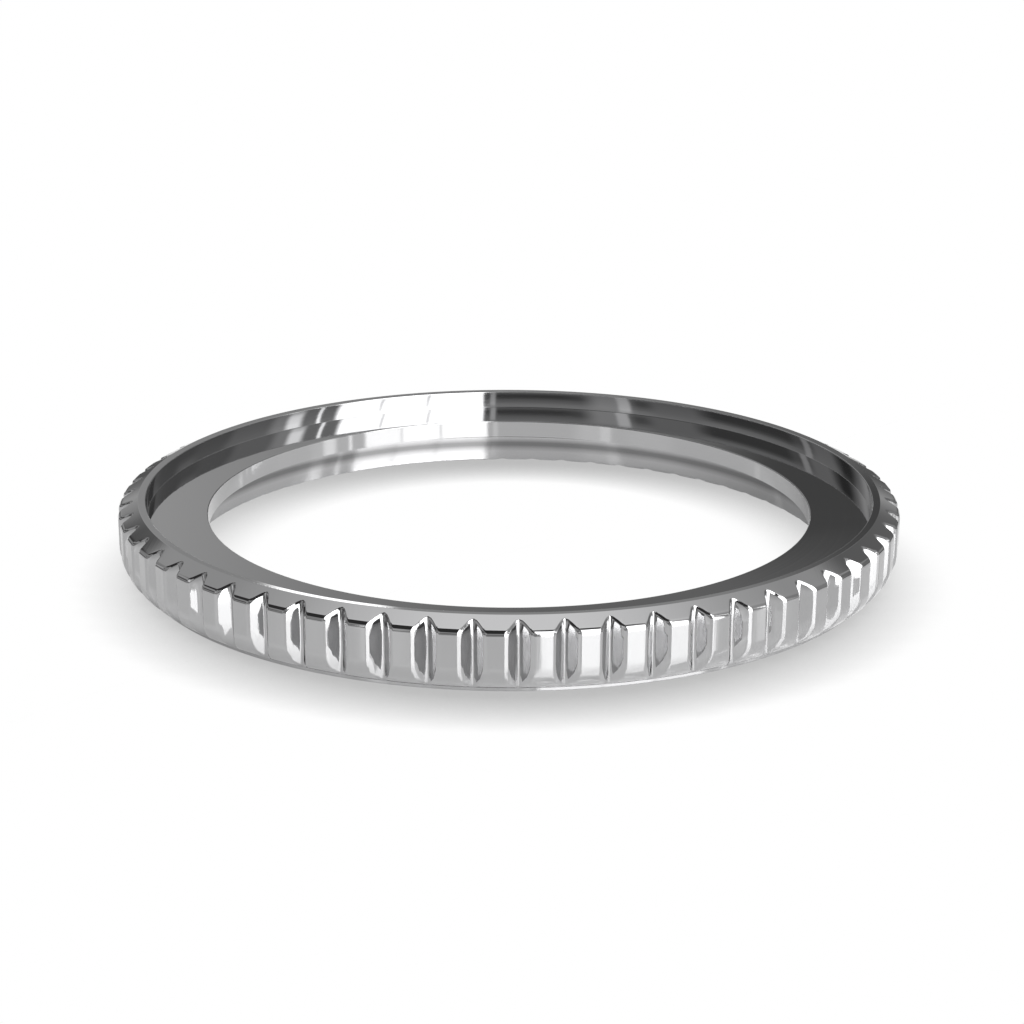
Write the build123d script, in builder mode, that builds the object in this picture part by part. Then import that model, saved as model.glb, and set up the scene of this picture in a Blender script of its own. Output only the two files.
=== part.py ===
from build123d import *
from math import atan, cos, pi, radians, sin, sqrt, tan
import os

# Rotating bezel of a diver's watch, in millimetres. +Z is the turning axis and points up
# out of the dial, and the origin is the centre of the underside that sits on the case.
# Radii build up outwards from the neck of the case, and heights build up from the case.
# Angles are in degrees round +Z from +X. Every groove, tooth and pocket lies on a click.

# Clicks, and the ball and pawl pairs that make them
clicks = 60
element_pairs = 4
clicks_from_ball_to_pawl = 8

# Carrier ring, pressed on the neck of the case
neck_radius = 17.2
carrier_width = 1.63
carrier_height = 1.45
carrier_edge_break = 0.06
serration_width = 0.8
serration_height = 0.19
serration_reach = 0.6

# Bezel ring: skirt and channel that cover the carrier
channel_clearance = 0.12
channel_mouth_break = 0.1
running_height = 0.05
lip_wall = 0.6
lip_height = 0.23
lip_edge_break = 0.06
lip_step = 0.1
lip_slope = 0.05
belly_radius = 1.38

# Bezel ring: seat for the insert, ledge under it and rim round it
seat_step = 0.1
seat_depth = 0.98
rim_width = 0.4
rim_edge_break = 0.06
ledge_overhang = 1.325
ledge_thickness = 0.95
ledge_edge_break = 0.05
shoulder_drop = 0.5
shoulder_round = 0.36

# Bezel ring: finger grooves
skirt_wall = 0.83
groove_depth = 0.72
groove_root_width = 0.14
groove_half_angle = 34
groove_edge_break = 0.1

# Snap wire
wire_diameter = 0.4
wire_below_top = 0.35
wire_clearance = 0.03
wire_gap_angle = 10

# Sealing ring
seal_diameter = 0.38
seal_height = 0.42
seal_clearance = 0.02

# Slide washer between the carrier and the bezel
washer_thickness = 0.35
washer_clearance = 0.03
washer_side_gap = 0.05

# Ratchet ring, pressed up under the ledge
ratchet_width = 1.0
ratchet_thickness = 0.34
tooth_height = 0.2
tooth_run = 1.65
tooth_steep_side = 0.45

# Balls, pawls and the springs under them
ball_diameter = 0.8
ball_clearance = 0.013
pocket_wall = 0.28
pocket_clearance = 0.02
pocket_floor = 0.3
pawl_width = 0.68
pawl_depth = 0.7
pawl_length = 0.97
pawl_clearance = 0.02
spring_outer_diameter = 0.6
spring_wall = 0.12

# How far cutting shapes run past what they cut
overrun = 1.0

# Radii that follow, from the inside out
pocket_radius = ball_diameter / 2 + pocket_clearance
track_radius = neck_radius + pocket_wall + pocket_radius
ratchet_inner_radius = track_radius - ratchet_width / 2
ratchet_outer_radius = track_radius + ratchet_width / 2
carrier_outer_radius = neck_radius + carrier_width
channel_radius = carrier_outer_radius + channel_clearance
opening_radius = neck_radius - ledge_overhang
seat_radius = channel_radius + seat_step
rim_radius = seat_radius + rim_width
lip_radius = channel_radius + lip_wall
belly_end_radius = lip_radius + lip_step
groove_root_radius = channel_radius + skirt_wall
bezel_radius = groove_root_radius + groove_depth

# Heights that follow, from the case up
ledge_under = carrier_height + washer_thickness + washer_clearance
ledge_top = ledge_under + ledge_thickness
total_height = ledge_top + seat_depth
wire_height = carrier_height - wire_below_top

# Places on the track, each on a click
click_angle = 360 / clicks
ball_angles = [click_angle * round(clicks * n / element_pairs) for n in range(element_pairs)]
pawl_angles = [angle + click_angle * clicks_from_ball_to_pawl for angle in ball_angles]

# A ball touches the long flank of the tooth above it, and its spring reaches up to it.
flank_slope = atan(tooth_height / tooth_run)
flank_over_ball = ledge_under + tooth_height * (tooth_run - tooth_steep_side) / tooth_run
ball_height = flank_over_ball - (ball_diameter / 2 + ball_clearance) / cos(flank_slope)
spring_bore_radius = spring_outer_diameter / 2 - spring_wall
ball_below_contact = sqrt((ball_diameter / 2) ** 2 - spring_bore_radius**2)
ball_spring_top = ball_height - ball_below_contact - ball_clearance

# A pawl stands against the steep flank, and its top lies along the long one.
pawl_head_end = tooth_steep_side - pawl_clearance
pawl_tail_end = pawl_head_end - pawl_width
flank_over_tail = tooth_height * (tooth_run - tooth_steep_side + pawl_tail_end) / tooth_run
pawl_tail_height = ledge_under + flank_over_tail - pawl_clearance
pawl_head_height = pawl_tail_height + pawl_width * tan(flank_slope)
pawl_foot_height = pawl_tail_height - pawl_length
pawl_middle = (pawl_head_end + pawl_tail_end) / 2


def radial_plane(angle, radius):
    """Upright plane that faces outwards at an angle, with its x axis along the rim."""
    place = (radius * cos(radians(angle)), radius * sin(radians(angle)), 0)
    along_rim = (-sin(radians(angle)), cos(radians(angle)), 0)
    outwards = (cos(radians(angle)), sin(radians(angle)), 0)
    return Plane(origin=place, x_dir=along_rim, z_dir=outwards)


def track_point(angle, along_rim=0):
    """Point on the ratchet track at an angle, moved along the rim, in the plane of a sketch."""
    turn = radians(angle)
    return (
        track_radius * cos(turn) - along_rim * sin(turn),
        track_radius * sin(turn) + along_rim * cos(turn),
    )


def make_spring(middle, top):
    """Closed sleeve that fills the space of one coil spring, from the pocket floor up."""
    with BuildPart() as spring:
        with BuildSketch(Plane.XY.offset(pocket_floor)):
            with Locations(middle):
                Circle(spring_outer_diameter / 2)
                Circle(spring_bore_radius, mode=Mode.SUBTRACT)
        extrude(amount=top - pocket_floor)
    return spring


def is_groove_mouth(edge):
    """True for the edges where the sides of a finger groove meet the outer wall."""
    middle = edge.position_at(0.5)
    on_wall = sqrt(middle.X**2 + middle.Y**2) > groove_root_radius + groove_edge_break / 2
    climbs = abs(edge.position_at(0).Z - edge.position_at(1).Z) > shoulder_round / 2
    return on_wall and climbs


# Bezel ring
wire_groove_radius = wire_diameter / 2 + wire_clearance
wire_ring_radius = channel_radius - channel_clearance / 2
slope_angle = atan(shoulder_drop / (bezel_radius - rim_radius))
shoulder_reach = shoulder_round * tan((pi / 2 - slope_angle) / 2)
shoulder_top = (
    bezel_radius - shoulder_reach * cos(slope_angle),
    total_height - shoulder_drop + shoulder_reach * sin(slope_angle),
)
shoulder_foot = (bezel_radius, total_height - shoulder_drop - shoulder_reach)
belly_end = (belly_end_radius, lip_height + lip_slope)
belly_rise = sqrt(belly_radius**2 - (belly_radius - bezel_radius + belly_end_radius) ** 2)
belly_top = (bezel_radius, lip_height + lip_slope + belly_rise)
groove_mouth = bezel_radius + groove_edge_break
groove_spread = (groove_mouth - groove_root_radius) * tan(radians(groove_half_angle))

with BuildPart() as bezel_ring:
    with BuildSketch(Plane.XZ):
        with BuildLine():
            Polyline(
                belly_end,
                (lip_radius, lip_height),
                (lip_radius, running_height + lip_edge_break),
                (lip_radius - lip_edge_break, running_height),
                (channel_radius + channel_mouth_break, running_height),
                (channel_radius, running_height + channel_mouth_break),
                (channel_radius, ledge_under),
                (ratchet_outer_radius, ledge_under),
                (ratchet_outer_radius, ledge_under + ratchet_thickness),
                (ratchet_inner_radius, ledge_under + ratchet_thickness),
                (ratchet_inner_radius, ledge_under),
                (opening_radius + ledge_edge_break, ledge_under),
                (opening_radius, ledge_under + ledge_edge_break),
                (opening_radius, ledge_top - ledge_edge_break),
                (opening_radius + ledge_edge_break, ledge_top),
                (seat_radius, ledge_top),
                (seat_radius, total_height - rim_edge_break),
                (seat_radius + rim_edge_break, total_height),
                (rim_radius, total_height),
                shoulder_top,
            )
            RadiusArc(shoulder_top, shoulder_foot, shoulder_round)
            Line(shoulder_foot, belly_top)
            RadiusArc(belly_top, belly_end, belly_radius)
        make_face()
    revolve(axis=Axis.Z)

    # Groove that shares the snap wire with the carrier
    with BuildSketch(Plane.XZ):
        with Locations((wire_ring_radius, wire_height)):
            Circle(wire_groove_radius)
    revolve(axis=Axis.Z, mode=Mode.SUBTRACT)

    # Finger grooves, upright, with a flat root and broken edges
    with BuildSketch(Plane.XY):
        with PolarLocations(0, clicks):
            Polygon(
                (groove_root_radius, -groove_root_width / 2),
                (groove_mouth, -groove_root_width / 2 - groove_spread),
                (groove_mouth, groove_root_width / 2 + groove_spread),
                (groove_root_radius, groove_root_width / 2),
                align=None,
            )
    extrude(amount=total_height, mode=Mode.SUBTRACT)
    chamfer(bezel_ring.edges().filter_by(is_groove_mouth), length=groove_edge_break)
bezel_ring.part.label = "bezel_ring"

# Ratchet ring: saw teeth that look down, with one long and one steep flank each
with BuildPart() as tooth_gap:
    with BuildSketch(radial_plane(0, ratchet_inner_radius - overrun)):
        with Locations((0, ledge_under)):
            Polygon(
                (tooth_steep_side - tooth_run, 0),
                (tooth_steep_side, 0),
                (tooth_steep_side, tooth_height),
                align=None,
            )
    extrude(amount=ratchet_width + 2 * overrun)

with BuildPart() as ratchet_ring:
    with BuildSketch(Plane.XY.offset(ledge_under)):
        Circle(ratchet_outer_radius)
        Circle(ratchet_inner_radius, mode=Mode.SUBTRACT)
    extrude(amount=ratchet_thickness)
    with PolarLocations(0, clicks):
        add(tooth_gap.part, mode=Mode.SUBTRACT)
ratchet_ring.part.label = "ratchet_ring"

# Carrier ring: serrations under its inner edge bite into the shoulder of the case
wire_seat_radius = wire_ring_radius - wire_diameter / 2 - 2 * wire_clearance
seal_seat_radius = channel_radius - seal_diameter - 2 * seal_clearance
seal_groove_foot = seal_height - seal_diameter / 2 - seal_clearance
pawl_places = [Location((*track_point(a, pawl_middle), 0), (0, 0, a)) for a in pawl_angles]

with BuildPart() as serration:
    with BuildSketch(radial_plane(0, neck_radius - overrun)):
        Polygon(
            (-serration_width / 2, 0),
            (serration_width / 2, 0),
            (0, serration_height),
            align=None,
        )
    extrude(amount=overrun + serration_reach)

with BuildPart() as carrier_ring:
    with BuildSketch(Plane.XY):
        Circle(carrier_outer_radius)
        Circle(neck_radius, mode=Mode.SUBTRACT)
    extrude(amount=carrier_height)
    chamfer(carrier_ring.edges().group_by(Axis.Z)[0], length=carrier_edge_break)
    chamfer(carrier_ring.edges().group_by(Axis.Z)[-1], length=carrier_edge_break)

    # Grooves round the outer wall for the snap wire and the sealing ring
    with BuildSketch(Plane.XY.offset(wire_height - wire_groove_radius)):
        Circle(channel_radius)
        Circle(wire_seat_radius, mode=Mode.SUBTRACT)
    extrude(amount=2 * wire_groove_radius, mode=Mode.SUBTRACT)
    with BuildSketch(Plane.XY.offset(seal_groove_foot)):
        Circle(channel_radius)
        Circle(seal_seat_radius, mode=Mode.SUBTRACT)
    extrude(amount=seal_diameter + 2 * seal_clearance, mode=Mode.SUBTRACT)

    # Pockets for the balls and the pawls, open at the top
    with BuildSketch(Plane.XY.offset(pocket_floor)):
        with Locations(*[track_point(angle) for angle in ball_angles]):
            Circle(pocket_radius)
        with Locations(*pawl_places):
            Rectangle(pawl_depth + 2 * pawl_clearance, pawl_width + 2 * pawl_clearance)
    extrude(amount=carrier_height, mode=Mode.SUBTRACT)

    with PolarLocations(0, clicks):
        add(serration.part, mode=Mode.SUBTRACT)
carrier_ring.part.label = "carrier_ring"

# Snap wire: an open ring of round wire
with BuildPart() as snap_wire:
    with BuildSketch(Plane.XZ):
        with Locations((wire_ring_radius, wire_height)):
            Circle(wire_diameter / 2)
    revolve(axis=Axis.Z, revolution_arc=360 - wire_gap_angle)
snap_wire.part.label = "snap_wire"

# Sealing ring of round cord
with BuildPart() as seal_ring:
    with BuildSketch(Plane.XZ):
        with Locations((channel_radius - seal_clearance - seal_diameter / 2, seal_height)):
            Circle(seal_diameter / 2)
    revolve(axis=Axis.Z)
seal_ring.part.label = "seal_ring"

# Slide washer, flat on top of the carrier and outside the teeth
with BuildPart() as slide_washer:
    with BuildSketch(Plane.XY.offset(carrier_height)):
        Circle(carrier_outer_radius - carrier_edge_break)
        Circle(ratchet_outer_radius + washer_side_gap, mode=Mode.SUBTRACT)
    extrude(amount=washer_thickness)
slide_washer.part.label = "slide_washer"

pieces = [bezel_ring, ratchet_ring, carrier_ring, snap_wire, seal_ring, slide_washer]

# Balls that settle in the teeth, each on its own spring
for number, angle in enumerate(ball_angles, start=1):
    with BuildPart() as detent_ball:
        with Locations((*track_point(angle), ball_height)):
            Sphere(ball_diameter / 2)
    detent_ball.part.label = f"detent_ball_{number}"
    detent_spring = make_spring(track_point(angle), ball_spring_top)
    detent_spring.part.label = f"detent_spring_{number}"
    pieces += [detent_ball, detent_spring]

# Pawls that stop the ring from turning back, each on its own spring
for number, angle in enumerate(pawl_angles, start=1):
    with BuildPart() as click_pawl:
        with BuildSketch(radial_plane(angle, track_radius - pawl_depth / 2)):
            Polygon(
                (pawl_tail_end, pawl_foot_height),
                (pawl_head_end, pawl_foot_height),
                (pawl_head_end, pawl_head_height),
                (pawl_tail_end, pawl_tail_height),
                align=None,
            )
        extrude(amount=pawl_depth)
    click_pawl.part.label = f"click_pawl_{number}"
    pawl_spring = make_spring(track_point(angle, pawl_middle), pawl_foot_height)
    pawl_spring.part.label = f"pawl_spring_{number}"
    pieces += [click_pawl, pawl_spring]

os.makedirs("parts", exist_ok=True)
for piece in pieces:
    export_step(piece.part, f"parts/{piece.part.label}.step")
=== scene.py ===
from math import acos, asin, atan, atan2, cos, pi, radians, sin, sqrt, tan

import bmesh
import bpy
import numpy as np
from bpy.props import FloatProperty, FloatVectorProperty, IntProperty, PointerProperty
from bpy.types import Operator, Panel, PropertyGroup
from mathutils import Matrix, Vector


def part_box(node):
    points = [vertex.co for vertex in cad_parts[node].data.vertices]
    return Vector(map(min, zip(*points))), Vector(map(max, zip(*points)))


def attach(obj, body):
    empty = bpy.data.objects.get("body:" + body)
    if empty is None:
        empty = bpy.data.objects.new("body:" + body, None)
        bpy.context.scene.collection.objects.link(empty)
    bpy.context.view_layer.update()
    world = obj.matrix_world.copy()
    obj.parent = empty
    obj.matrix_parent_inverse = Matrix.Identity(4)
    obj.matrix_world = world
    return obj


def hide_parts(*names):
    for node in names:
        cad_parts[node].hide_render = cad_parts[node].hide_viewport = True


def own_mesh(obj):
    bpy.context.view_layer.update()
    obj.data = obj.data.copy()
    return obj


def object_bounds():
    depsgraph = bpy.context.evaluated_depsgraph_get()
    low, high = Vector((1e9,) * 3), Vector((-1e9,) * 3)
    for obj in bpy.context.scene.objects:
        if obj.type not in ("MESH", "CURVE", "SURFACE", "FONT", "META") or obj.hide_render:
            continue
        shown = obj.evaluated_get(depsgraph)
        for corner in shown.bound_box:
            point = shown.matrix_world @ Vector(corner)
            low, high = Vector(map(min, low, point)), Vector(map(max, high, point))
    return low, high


bl_info = {
    "name": "Rotating Watch Bezel",
    "version": (1, 0, 0),
    "blender": (4, 5, 0),
    "location": "View3D > Sidebar > Bezel",
    "description": "Builds a polished rotating bezel round its packed parts",
    "category": "Object",
}

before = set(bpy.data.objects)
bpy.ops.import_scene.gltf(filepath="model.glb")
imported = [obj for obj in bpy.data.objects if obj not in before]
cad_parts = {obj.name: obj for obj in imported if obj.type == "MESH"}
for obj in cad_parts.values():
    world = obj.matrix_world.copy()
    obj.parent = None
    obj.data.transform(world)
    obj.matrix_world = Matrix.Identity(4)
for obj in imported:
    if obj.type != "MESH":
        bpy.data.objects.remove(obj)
cad_low, cad_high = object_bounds()

MM = 0.001
IMAGE_SIDE = 1024
SMALLEST_GAP = 1e-7
MERGE_DISTANCE = 1e-6
EDGE_ANGLE = radians(25)


# Sizes and colours that a user can change


def number(name, description, default, kind=FloatProperty, **limits):
    """Property that holds a number."""
    return kind(name=name, description=description, default=default, **limits)


def length(name, description, millimetres):
    """Property that holds a length, which Blender keeps in metres."""
    limits = {"min": 0, "precision": 5, "subtype": "DISTANCE", "unit": "LENGTH"}
    return number(name, description, millimetres * MM, **limits)


def turn(name, description, default):
    """Property that holds an angle in radians."""
    return number(name, description, default, subtype="ANGLE", unit="ROTATION")


def colour(name, description, default):
    """Property that holds a colour."""
    return number(name, description, default, FloatVectorProperty, subtype="COLOR", min=0, max=1)


class BezelSizes(PropertyGroup):
    """Sizes of the bezel ring."""

    clicks: number("Clicks", "Grooves, and clicks in a turn", 60, IntProperty, min=12)
    outer_radius: length("Outer radius", "Radius over the grooved rim", 20.5)
    rim_radius: length("Rim radius", "Outer radius of the narrow top rim", 19.45)
    rim_round: length("Rim round", "Rounding of the rim's edges", 0.05)
    rim_fall: length("Rim fall", "Fall of the rim towards the recess", 0.03)
    seat_radius: length("Recess radius", "Radius of the insert recess", 19.05)
    ledge_top: length("Ledge height", "Height of the ledge's upper face", 2.78)
    ledge_under: length("Ledge underside", "Height of the ledge's lower face", 1.83)
    opening_radius: length("Opening radius", "Radius of the open middle", 15.875)
    channel_radius: length("Channel radius", "Inner radius of the skirt", 18.95)
    recess_hollow: length("Recess hollow", "How far polishing hollows its wall", 0.02)
    mouth_break: length("Channel mouth break", "Broken edge of the channel", 0.1)
    running_height: length("Running height", "Height of the skirt over the case", 0.05)
    lip_radius: length("Lip radius", "Outer radius of the foot of the skirt", 19.55)
    lip_height: length("Lip height", "Height of the lip's step", 0.23)
    belly_end_radius: length("Belly foot radius", "Radius where the belly ends", 19.65)
    belly_end_height: length("Belly foot height", "Height where the belly ends", 0.28)
    belly_radius: length("Belly round", "Rounding of the outer wall's lower half", 1.38)
    shoulder_drop: length("Shoulder drop", "Fall from the rim to the shoulder", 0.5)
    shoulder_round: length("Shoulder round", "Rounding of the shoulder", 0.36)
    groove_root_radius: length("Groove root radius", "Radius of the grooves' roots", 19.78)
    groove_root_width: length("Groove root width", "Width of the flat root", 0.14)
    groove_half_angle: turn("Groove half angle", "From radial to a groove wall", radians(34))
    groove_break: length("Groove edge break", "Depth of the broken groove edges", 0.077)
    groove_root_round: length("Groove root round", "Hollow between root and walls", 0.14)
    polish_round: length("Polished round", "Rounding of every broken edge", 0.012)
    ratchet_inner_radius: length("Ratchet seat inner", "Inner wall of its seat", 17.4)
    ratchet_outer_radius: length("Ratchet seat outer", "Outer wall of its seat", 18.4)
    ratchet_depth: length("Ratchet seat depth", "Depth of the seat", 0.34)
    wire_height: length("Wire height", "Height of the snap wire", 1.1)
    wire_ring_radius: length("Wire ring radius", "Middle of the wire's section", 18.89)
    wire_groove_radius: length("Wire groove radius", "Radius of its groove", 0.23)


class CarrierSizes(PropertyGroup):
    """Sizes of the carrier ring."""

    neck_radius: length("Neck radius", "Radius of its bore", 17.2)
    outer_radius: length("Outer radius", "Outer radius of the carrier", 18.83)
    height: length("Height", "Height of the carrier", 1.45)
    edge_break: length("Edge break", "Broken edges of the carrier", 0.06)
    bore_break: length("Bore edge break", "Broken upper edge of its bore", 0.02)
    bore_hollow: length("Bore hollow", "How far polishing hollows its bore", 0.03)
    notch_width: length("Notch width", "Width of a notch under its bore", 0.8)
    notch_height: length("Notch height", "Height of a notch", 0.08)
    notch_reach: length("Notch reach", "How far a notch reaches outwards", 0.6)
    wire_height: length("Wire height", "Height of the snap wire", 1.1)
    wire_half_gap: length("Wire groove half height", "Half the height of its groove", 0.23)
    wire_seat_radius: length("Wire seat radius", "Radius of the wire groove's root", 18.63)
    seal_height: length("Seal height", "Height of the sealing ring", 0.42)
    seal_half_gap: length("Seal groove half height", "Half the height of its groove", 0.21)
    seal_seat_radius: length("Seal seat radius", "Radius of the seal groove's root", 18.53)
    pocket_floor: length("Pocket floor", "Height of the floor of the pockets", 0.3)
    ball_pocket_radius: length("Ball pocket radius", "Radius of a ball's pocket", 0.42)
    pawl_pocket_width: length("Pawl pocket width", "Its size along the rim", 0.72)
    pawl_pocket_depth: length("Pawl pocket depth", "Its size across the rim", 0.74)


class SpringSizes(PropertyGroup):
    """Sizes of the coil springs."""

    outer_diameter: length("Outer diameter", "Diameter over the coils", 0.6)
    wire_diameter: length("Wire diameter", "Diameter of the wire", 0.12)
    ball_turns: number("Ball turns", "Turns of a spring under a ball", 4)
    pawl_turns: number("Pawl turns", "Turns of a spring under a pawl", 3)
    points_in_turn: number("Points", "Points along a turn", 28, IntProperty)


class Finishes(PropertyGroup):
    """Colours of the finishes."""

    polished_steel: colour("Polished steel", "Bezel ring", (0.43, 0.43, 0.434))
    turned_steel: colour("Turned steel", "Carrier ring", (0.42, 0.42, 0.424))
    hardened_steel: colour("Hardened steel", "Ratchet ring, balls and pawls", (0.42, 0.42, 0.43))
    spring_steel: colour("Spring steel", "Springs and snap wire", (0.48, 0.48, 0.49))
    seal_rubber: colour("Seal rubber", "Sealing ring", (0.03, 0.03, 0.033))
    washer_plastic: colour("Washer plastic", "Slide washer", (0.78, 0.78, 0.76))


class Studio(PropertyGroup):
    """Floor, light and camera."""

    floor: number("Floor", "Brightness of the floor", 0.78, min=0, max=1)
    floor_glow: number("Floor glow", "Light that it adds in reflections", 0.28, min=0)
    floor_gloss: number("Floor gloss", "Refractive index of its glaze", 2.2, min=1)
    shadow_level: number("Shadow level", "Brightness of the floor against the ring", 0.28)
    shadow_reach: length("Shadow reach", "How far the shadow reaches", 4.5)
    shadow_lean: turn("Shadow lean", "Leans the shadow towards the camera", radians(67))
    card_depth: length("Card depth", "How far behind the ring reflections see it pale", 34)
    floor_half_width: length("Floor half width", "From the middle to the floor's edge", 2000)
    camera_distance: length("Camera distance", "From the ring's foot", 123.777)
    camera_elevation: turn("Camera elevation", "Above the floor", radians(19.067))
    camera_azimuth: turn("Camera azimuth", "To the left of -Y", radians(1.382))
    camera_roll: turn("Camera roll", "About its line of sight", 0.0031)
    focal_pixels: number("Focal length", "In pixels of the photograph", 2312.65)
    origin_pixel: number(
        "Origin pixel",
        "Where the photograph shows the foot of the ring's axis",
        (508.83, 552.41),
        FloatVectorProperty,
        size=2,
    )


CLASSES = [BezelSizes, CarrierSizes, SpringSizes, Finishes, Studio]


# Outline of the ring in section, and its grooves seen from above

# Where the mesh has its lines along a stretch, as shares of it
WALL_SHARES = (0.12, 0.28, 0.46, 0.64, 0.82)
EDGE_SHARES = (0.1, 0.22, 0.36, 0.5, 0.64, 0.78, 0.9, 1)
BAND_SHARES = (0.35, 0.7, 1)
HALF_SHARES = (0.5, 1)
HOLLOW_SHARES = (0.25, 0.5, 0.75, 1)
GROOVE_WALL_SHARE = 0.6

# How far the hollow of a groove's root runs up its wall, in rounds of the hollow
HOLLOW_REACH = 0.6

# How far those lines stand off an edge, in rounds of its polish
EDGE_REACH = 1.5

# Where the wall is looked for, as shares of its inner and outer radius, and how finely
SEARCH_FROM, SEARCH_TO = 0.95, 1.01
HALVINGS = 40

# Steps in a polished rounding, one of which gives the wall's direction
STEPS_IN_ROUND = 20

# Least steepness that still widens a broken edge
LEAST_STEEP = 0.3


def round_max(first, second, soft):
    """Larger of two distances, rounded where both are near zero, so that an edge is soft."""
    rounded = np.hypot(np.maximum(first + soft, 0), np.maximum(second + soft, 0)) - soft
    return np.where(np.minimum(first, second) > -soft, rounded, np.maximum(first, second))


class GroovedWall:
    """The ring's grooved outer wall, as a distance from its surface."""

    def __init__(self, sizes):
        self.s = sizes
        self.top = cad_high.z
        self.slope = atan(sizes.shoulder_drop / (sizes.outer_radius - sizes.rim_radius))
        self.belly_middle = sizes.outer_radius - sizes.belly_radius
        reach = sizes.belly_end_radius - self.belly_middle
        self.belly_top = sizes.belly_end_height + sqrt(sizes.belly_radius**2 - reach**2)
        self.mouth = (
            sizes.groove_root_width / 2
            + (sizes.outer_radius - sizes.groove_root_radius) * tan(sizes.groove_half_angle)
        )

    def cone_height(self, radius):
        """Height of the sloping shoulder at a radius."""
        return self.top - (radius - self.s.rim_radius) * tan(self.slope)

    def section(self, radius, height):
        """Distance outside the ring's outline, without its grooves."""
        s = self.s
        cone = (radius - s.rim_radius) * sin(self.slope) + (height - self.top) * cos(self.slope)
        belly = np.hypot(radius - self.belly_middle, height - self.belly_top) - s.belly_radius
        side = np.where(height < self.belly_top, belly, radius - s.outer_radius)
        middle_radius = s.outer_radius - s.shoulder_round
        middle_height = self.cone_height(middle_radius) - s.shoulder_round / cos(self.slope)
        across, above = radius - middle_radius, height - middle_height
        lean = np.arctan2(above, across)
        on_shoulder = (lean > 0) & (lean < pi / 2 - self.slope)
        corner = np.hypot(across, above) - s.shoulder_round
        return np.where(on_shoulder, corner, np.maximum(cone, side))

    def groove(self, across, beside):
        """Distance into the groove at azimuth zero, seen from above."""
        s = self.s
        past_root = across - s.groove_root_radius
        past_wall = past_root * sin(s.groove_half_angle)
        past_wall -= (np.abs(beside) - s.groove_root_width / 2) * cos(s.groove_half_angle)
        return -round_max(-past_wall, -past_root, s.groove_root_round)

    def distance(self, x, y, z):
        """Distance outside the grooved wall, with its broken edges."""
        s = self.s
        section = self.section(np.hypot(x, y), z)
        groove = self.groove(x, y)
        broken = (section + groove + s.groove_break) / sqrt(3)
        upper = round_max(section, broken, s.polish_round)
        lower = round_max(groove, broken, s.polish_round)
        return round_max(upper, lower, s.polish_round)

    def radius_at(self, azimuth, height):
        """Radius of the wall's surface, found by halving."""
        inside = np.full(azimuth.shape, self.s.groove_root_radius * SEARCH_FROM)
        outside = np.full(azimuth.shape, self.s.outer_radius * SEARCH_TO)
        for _ in range(HALVINGS):
            middle = (inside + outside) / 2
            x, y = middle * np.cos(azimuth), middle * np.sin(azimuth)
            is_out = self.distance(x, y, height) > 0
            outside = np.where(is_out, middle, outside)
            inside = np.where(is_out, inside, middle)
        return (inside + outside) / 2

    def normal_at(self, azimuth, radius, height):
        """Surface direction as outwards, along the rim and up."""
        step = self.s.polish_round / STEPS_IN_ROUND
        x, y = radius * np.cos(azimuth), radius * np.sin(azimuth)
        slopes = []
        for shift in np.eye(3) * step:
            ahead = self.distance(x + shift[0], y + shift[1], height + shift[2])
            behind = self.distance(x - shift[0], y - shift[1], height - shift[2])
            slopes.append(ahead - behind)
        dx, dy, dz = slopes
        out = dx * np.cos(azimuth) + dy * np.sin(azimuth)
        along = -dx * np.sin(azimuth) + dy * np.cos(azimuth)
        direction = np.stack([out, along, dz], axis=-1)
        return direction / np.linalg.norm(direction, axis=-1, keepdims=True)

    def columns(self):
        """Azimuths of the mesh lines of one groove, closest at its corners."""
        s = self.s
        root = s.groove_root_width / 2
        soft = s.polish_round * EDGE_REACH
        leg = s.groove_break / sin(pi / 2 - s.groove_half_angle)
        inner = self.mouth - leg * sin(s.groove_half_angle)
        outer = self.mouth + leg
        wall = inner - root
        hollow = root + s.groove_root_round * HOLLOW_REACH
        offsets = [
            *[hollow * share for share in HOLLOW_SHARES],
            root + wall * GROOVE_WALL_SHARE,
            inner - soft,
            inner + soft,
            (inner + outer) / 2,
            outer - 2 * soft,
            outer + 2 * soft,
        ]
        seam = pi / s.clicks
        half = [0.0] + [np.arcsin(y / s.outer_radius) for y in offsets]
        half += [(half[-1] + seam) / 2, seam]
        return np.array([-a for a in reversed(half[1:])] + half)

    def rows(self, azimuth):
        """Heights of the mesh rings, which follow the edges of the groove."""
        s = self.s
        soft = s.polish_round * EDGE_REACH
        lean = np.abs(azimuth)
        half = s.groove_half_angle
        root = s.groove_root_radius * sin(half) - s.groove_root_width / 2 * cos(half)
        wall = root / np.sin(half - lean)
        bottom = s.groove_root_radius / np.cos(lean)
        depth_line = np.minimum(np.maximum(wall, bottom), s.outer_radius)
        on_land = lean > np.arcsin(self.mouth / s.outer_radius)
        depth_line = np.where(on_land, s.outer_radius, depth_line)
        steep = np.where(wall > bottom, np.sin(half - lean), np.cos(lean))
        deepest = s.groove_root_radius - s.groove_break
        set_in = np.maximum(depth_line - s.groove_break / np.maximum(steep, LEAST_STEEP), deepest)

        # Heights between which the broken edge leaves the belly, kept a few roundings apart
        belly_in = np.clip(set_in - self.belly_middle, 0, s.belly_radius)
        belly_low = self.belly_top - np.sqrt(s.belly_radius**2 - belly_in**2)
        inner_round = s.belly_radius - s.groove_break
        belly_out = np.clip(depth_line - self.belly_middle, 0, inner_round)
        belly_high = self.belly_top - np.sqrt(inner_round**2 - belly_out**2)
        belly_low = np.minimum(belly_low, self.belly_top - 6 * soft)
        belly_high = np.maximum(belly_high, belly_low + 4 * soft)

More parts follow.
